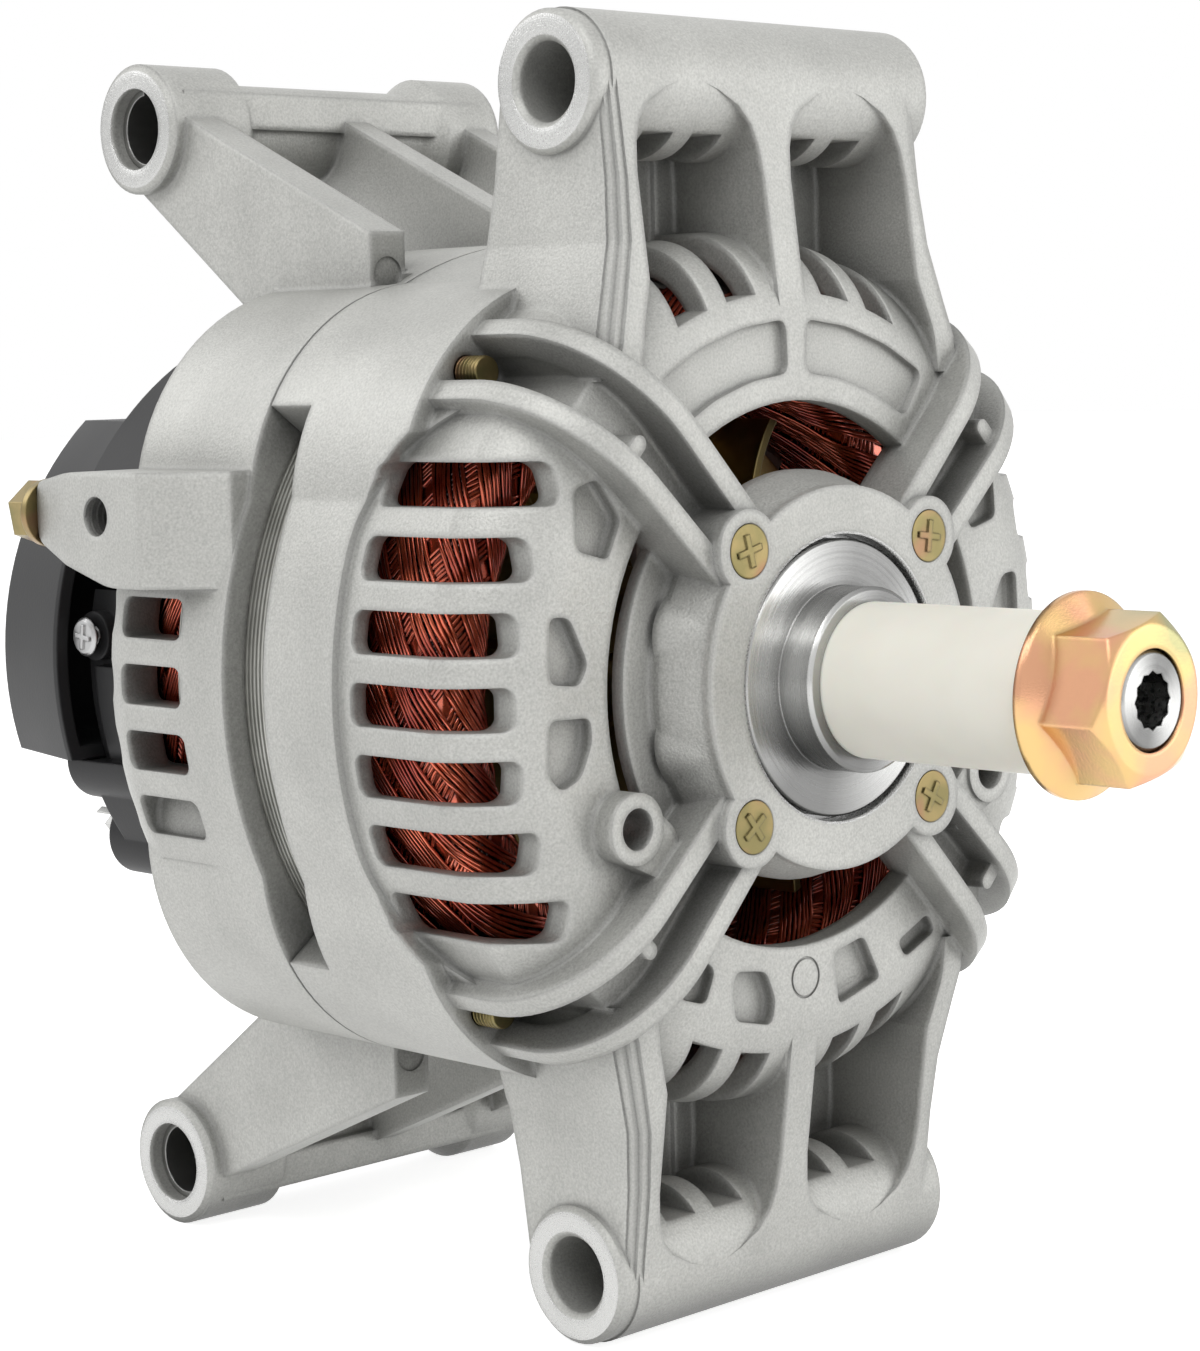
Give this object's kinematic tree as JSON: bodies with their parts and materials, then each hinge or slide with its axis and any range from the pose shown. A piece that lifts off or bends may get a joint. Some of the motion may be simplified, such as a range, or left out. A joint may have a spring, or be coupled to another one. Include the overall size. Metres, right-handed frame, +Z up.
{
  "type": "alternator",
  "caption": "Heavy-duty vehicle alternator with bolted end shields, tube mounts on both ends, a vented and ribbed drive end and a sleeved shaft with a flange nut.",
  "frame": {"origin": "on the shaft axis, at the collar's front face that the pulley is clamped against", "axes": "-Y along the shaft towards its nut, +X along the mount tubes to the right as seen from the pulley, +Z up between the upper tubes"},
  "size_m": [0.1555, 0.222, 0.22],
  "materials": {
    "cast_aluminium": "blasted die casting",
    "plate_aluminium": "bare plate",
    "lamination_steel": "stacked sheets",
    "enamelled_copper": "red enamel",
    "insulation": "paper",
    "yellow_zinc": "yellow zinc",
    "plain_zinc": "clear zinc",
    "nut_zinc": "iridescent zinc",
    "fan_zinc": "yellow zinc sheet",
    "bearing_steel": "ground",
    "bearing_rubber": "moulded",
    "cage_nylon": "moulded",
    "bushing_steel": "plain",
    "black_plastic": "moulded",
    "diode_case": "moulded",
    "turned_steel": "turned",
    "forged_steel": "forged",
    "ring_copper": "turned",
    "ivory_plastic": "moulded",
    "carbon": "pressed",
    "spring_steel": "drawn wire"
  },
  "bodies": {
    "housing": {"drive_end_shield": "cast_aluminium", "slip_ring_end_shield": "cast_aluminium", "stator_core": "lamination_steel", "stator_winding": "enamelled_copper", "slot_liners": "insulation", "stator_leads": "enamelled_copper", "through_bolts": "yellow_zinc", "bearing_retainer": "plain_zinc", "retainer_screws": "yellow_zinc", "front_bearing_outer_race": "bearing_steel", "front_bearing_seals": "bearing_rubber", "rear_bearing_outer_race": "bearing_steel", "rear_bearing_seals": "bearing_rubber", "rear_bearing_sleeve": "cage_nylon", "upper_slide_bushing": "bushing_steel", "lower_slide_bushing": "bushing_steel", "negative_heat_sink": "plate_aluminium", "positive_heat_sink": "plate_aluminium", "negative_diodes": "diode_case", "positive_diodes": "diode_case", "terminal_carrier": "black_plastic", "output_stud": "yellow_zinc", "output_nut": "yellow_zinc", "regulator_body": "black_plastic", "regulator_heat_sink": "plate_aluminium", "regulator_screws": "plain_zinc", "brush_holder": "black_plastic", "rear_cover": "black_plastic", "cover_screws": "plain_zinc", "ground_bolt": "yellow_zinc", "inner_brush_spring": "spring_steel", "outer_brush_spring": "spring_steel"},
    "rotor": {"rotor_shaft": "turned_steel", "front_claw_pole": "forged_steel", "rear_claw_pole": "forged_steel", "field_coil": "enamelled_copper", "coil_bobbin": "cage_nylon", "front_fan": "fan_zinc", "rear_fan": "fan_zinc", "slip_ring_carrier": "cage_nylon", "inner_slip_ring": "ring_copper", "outer_slip_ring": "ring_copper", "shaft_collar": "turned_steel", "shipping_sleeve": "ivory_plastic", "shaft_nut": "nut_zinc", "front_bearing_inner_race": "bearing_steel", "rear_bearing_inner_race": "bearing_steel"},
    "front_cage": {"front_bearing_cage": "cage_nylon", "front_bearing_balls": "bearing_steel"},
    "rear_cage": {"rear_bearing_cage": "cage_nylon", "rear_bearing_balls": "bearing_steel"},
    "inner_brush": {"inner_brush": "carbon"},
    "outer_brush": {"outer_brush": "carbon"}
  },
  "joints": [
    {"name": "rotor_spin", "type": "hinge", "parent": "housing", "child": "rotor", "pos_m": [0, 0, 0], "axis": [0, 1, 0], "continuous": true},
    {"name": "front_cage_spin", "type": "hinge", "parent": "housing", "child": "front_cage", "pos_m": [0, 0, 0], "axis": [0, 1, 0], "continuous": true},
    {"name": "rear_cage_spin", "type": "hinge", "parent": "housing", "child": "rear_cage", "pos_m": [0, 0, 0], "axis": [0, 1, 0], "continuous": true},
    {"name": "inner_brush_slide", "type": "slide", "parent": "housing", "child": "inner_brush", "axis": [0, 0, -1], "range_m": [0, 0.004], "stiffness_N_per_m": 150, "springref_m": -0.012, "deforming": ["inner_brush_spring"]},
    {"name": "outer_brush_slide", "type": "slide", "parent": "housing", "child": "outer_brush", "axis": [0, 0, -1], "range_m": [0, 0.004], "stiffness_N_per_m": 150, "springref_m": -0.012, "deforming": ["outer_brush_spring"]}
  ],
  "couplings": [
    {"joint": "front_cage_spin", "follows": "rotor_spin", "ratio": 0.3678},
    {"joint": "rear_cage_spin", "follows": "rotor_spin", "ratio": 0.3812}
  ]
}
